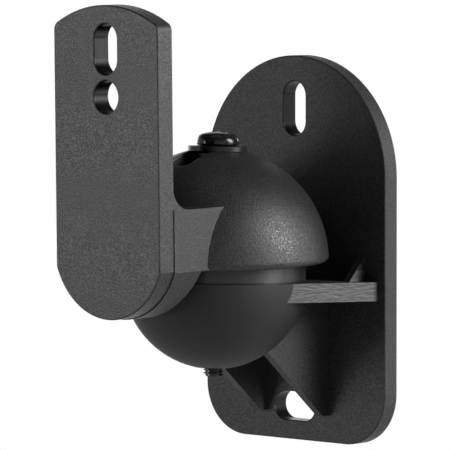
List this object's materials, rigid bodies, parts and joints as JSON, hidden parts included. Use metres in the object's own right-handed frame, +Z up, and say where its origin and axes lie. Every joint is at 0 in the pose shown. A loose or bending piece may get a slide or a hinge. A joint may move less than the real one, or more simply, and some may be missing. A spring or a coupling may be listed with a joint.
{
  "type": "speaker wall bracket",
  "caption": "Moulded wall bracket for a small loudspeaker: slotted wall plate, half ball on a shelf, swivelling dome, tilting arm with a slotted speaker plate, one clamp screw.",
  "frame": {"origin": "on the wall plate's back face, on its centre line, midway between its two screw slots", "axes": "+Y into the wall, square to the wall plate's back face; +Z up, along the wall plate's length; +X to the right for someone facing the wall"},
  "size_m": [0.06, 0.0728, 0.1104],
  "materials": {
    "wall_plastic": "black moulding with a fine grain",
    "dome_plastic": "black moulding, smooth satin",
    "arm_plastic": "black moulding with a fine grain",
    "black_steel": "black zinc plating, glossy",
    "zinc_steel": "bright zinc plating"
  },
  "bodies": {
    "wall": {"wall_bracket": "wall_plastic", "nut": "zinc_steel"},
    "swivel": {"dome": "dome_plastic"},
    "arm": {"speaker_arm": "arm_plastic"},
    "washer": {"washer": "black_steel"},
    "screw": {"clamp_screw": "black_steel"}
  },
  "joints": [
    {"name": "swivel", "type": "hinge", "parent": "wall", "child": "swivel", "pos_m": [0, -0.0339, -0.0039], "axis": [0, 0.0314, 0.9995], "range_deg": [-80, 80]},
    {"name": "tilt", "type": "hinge", "parent": "swivel", "child": "arm", "pos_m": [0, -0.03375, 0.0008], "axis": [1, 0, 0], "range_deg": [-10, 7]},
    {"name": "screw_lift", "type": "slide", "parent": "wall", "child": "washer", "axis": [0, 0.0314, 0.9995], "range_m": [0, 0.0024]},
    {"name": "screw_turn", "type": "hinge", "parent": "washer", "child": "screw", "pos_m": [0, -0.03375, 0.0008], "axis": [0, 0.0314, 0.9995], "range_deg": [0, 1080]}
  ],
  "couplings": [
    {"joint": "screw_turn", "follows": "screw_lift", "rad_per_m": 7854}
  ]
}
